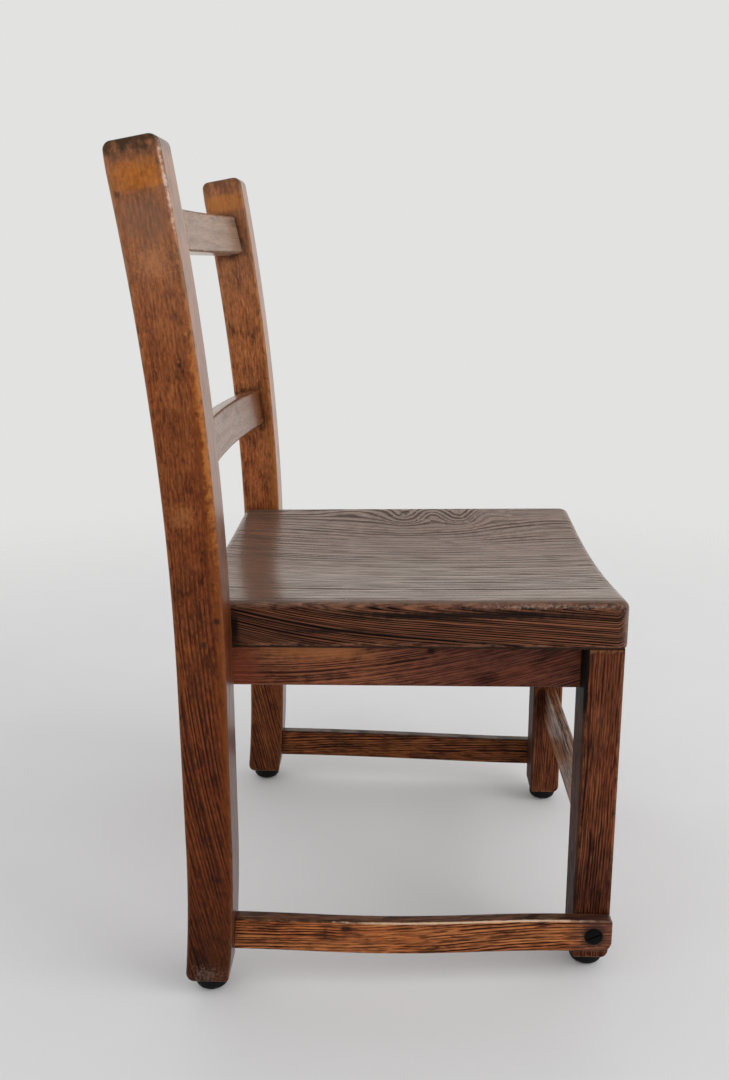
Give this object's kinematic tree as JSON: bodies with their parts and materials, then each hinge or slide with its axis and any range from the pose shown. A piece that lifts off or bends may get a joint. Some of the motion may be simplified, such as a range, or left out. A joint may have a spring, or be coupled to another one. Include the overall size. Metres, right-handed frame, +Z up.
{
  "type": "child's chair",
  "caption": "Small wooden child's chair with a hollowed board seat, swept back posts, bowed back rails, square front legs, low side stretchers and domed rubber feet.",
  "frame": {"origin": "on the floor, at the middle of the chair's overall width and depth", "axes": "+Z up; the chair faces -Y, so its back is towards +Y; +X towards the sitter's left"},
  "size_m": [0.3856, 0.357, 0.6159],
  "materials": {
    "post_wood": "waxed orange-brown hardwood with worn edges",
    "seat_wood": "dark brown polished hardwood",
    "rail_wood": "waxed mid-brown hardwood",
    "leg_wood": "waxed dark brown hardwood",
    "apron_wood": "waxed red-brown hardwood",
    "stretcher_wood": "worn orange-brown hardwood",
    "block_wood": "bare softwood",
    "black_rubber": "matt black",
    "dark_steel": "blackened"
  },
  "bodies": {
    "root": {"back_post_left": "post_wood", "back_post_right": "post_wood", "upper_back_rail": "rail_wood", "lower_back_rail": "rail_wood", "seat": "seat_wood", "front_leg_left": "leg_wood", "front_leg_right": "leg_wood", "side_apron_left": "apron_wood", "side_apron_right": "apron_wood", "front_apron": "apron_wood", "rear_apron": "apron_wood", "front_stretcher": "stretcher_wood", "side_stretcher_left": "stretcher_wood", "side_stretcher_right": "stretcher_wood", "stretcher_screw_left": "dark_steel", "stretcher_screw_right": "dark_steel", "foot_front_left": "black_rubber", "foot_front_right": "black_rubber", "foot_rear_left": "black_rubber", "foot_rear_right": "black_rubber", "foot_screw_front_left": "dark_steel", "foot_screw_front_right": "dark_steel", "foot_screw_rear_left": "dark_steel", "foot_screw_rear_right": "dark_steel", "corner_block_front_left": "block_wood", "corner_block_front_right": "block_wood", "corner_block_rear_left": "block_wood", "corner_block_rear_right": "block_wood", "seat_screw_front_left": "dark_steel", "seat_screw_front_right": "dark_steel", "seat_screw_rear_left": "dark_steel", "seat_screw_rear_right": "dark_steel"}
  },
  "joints": []
}
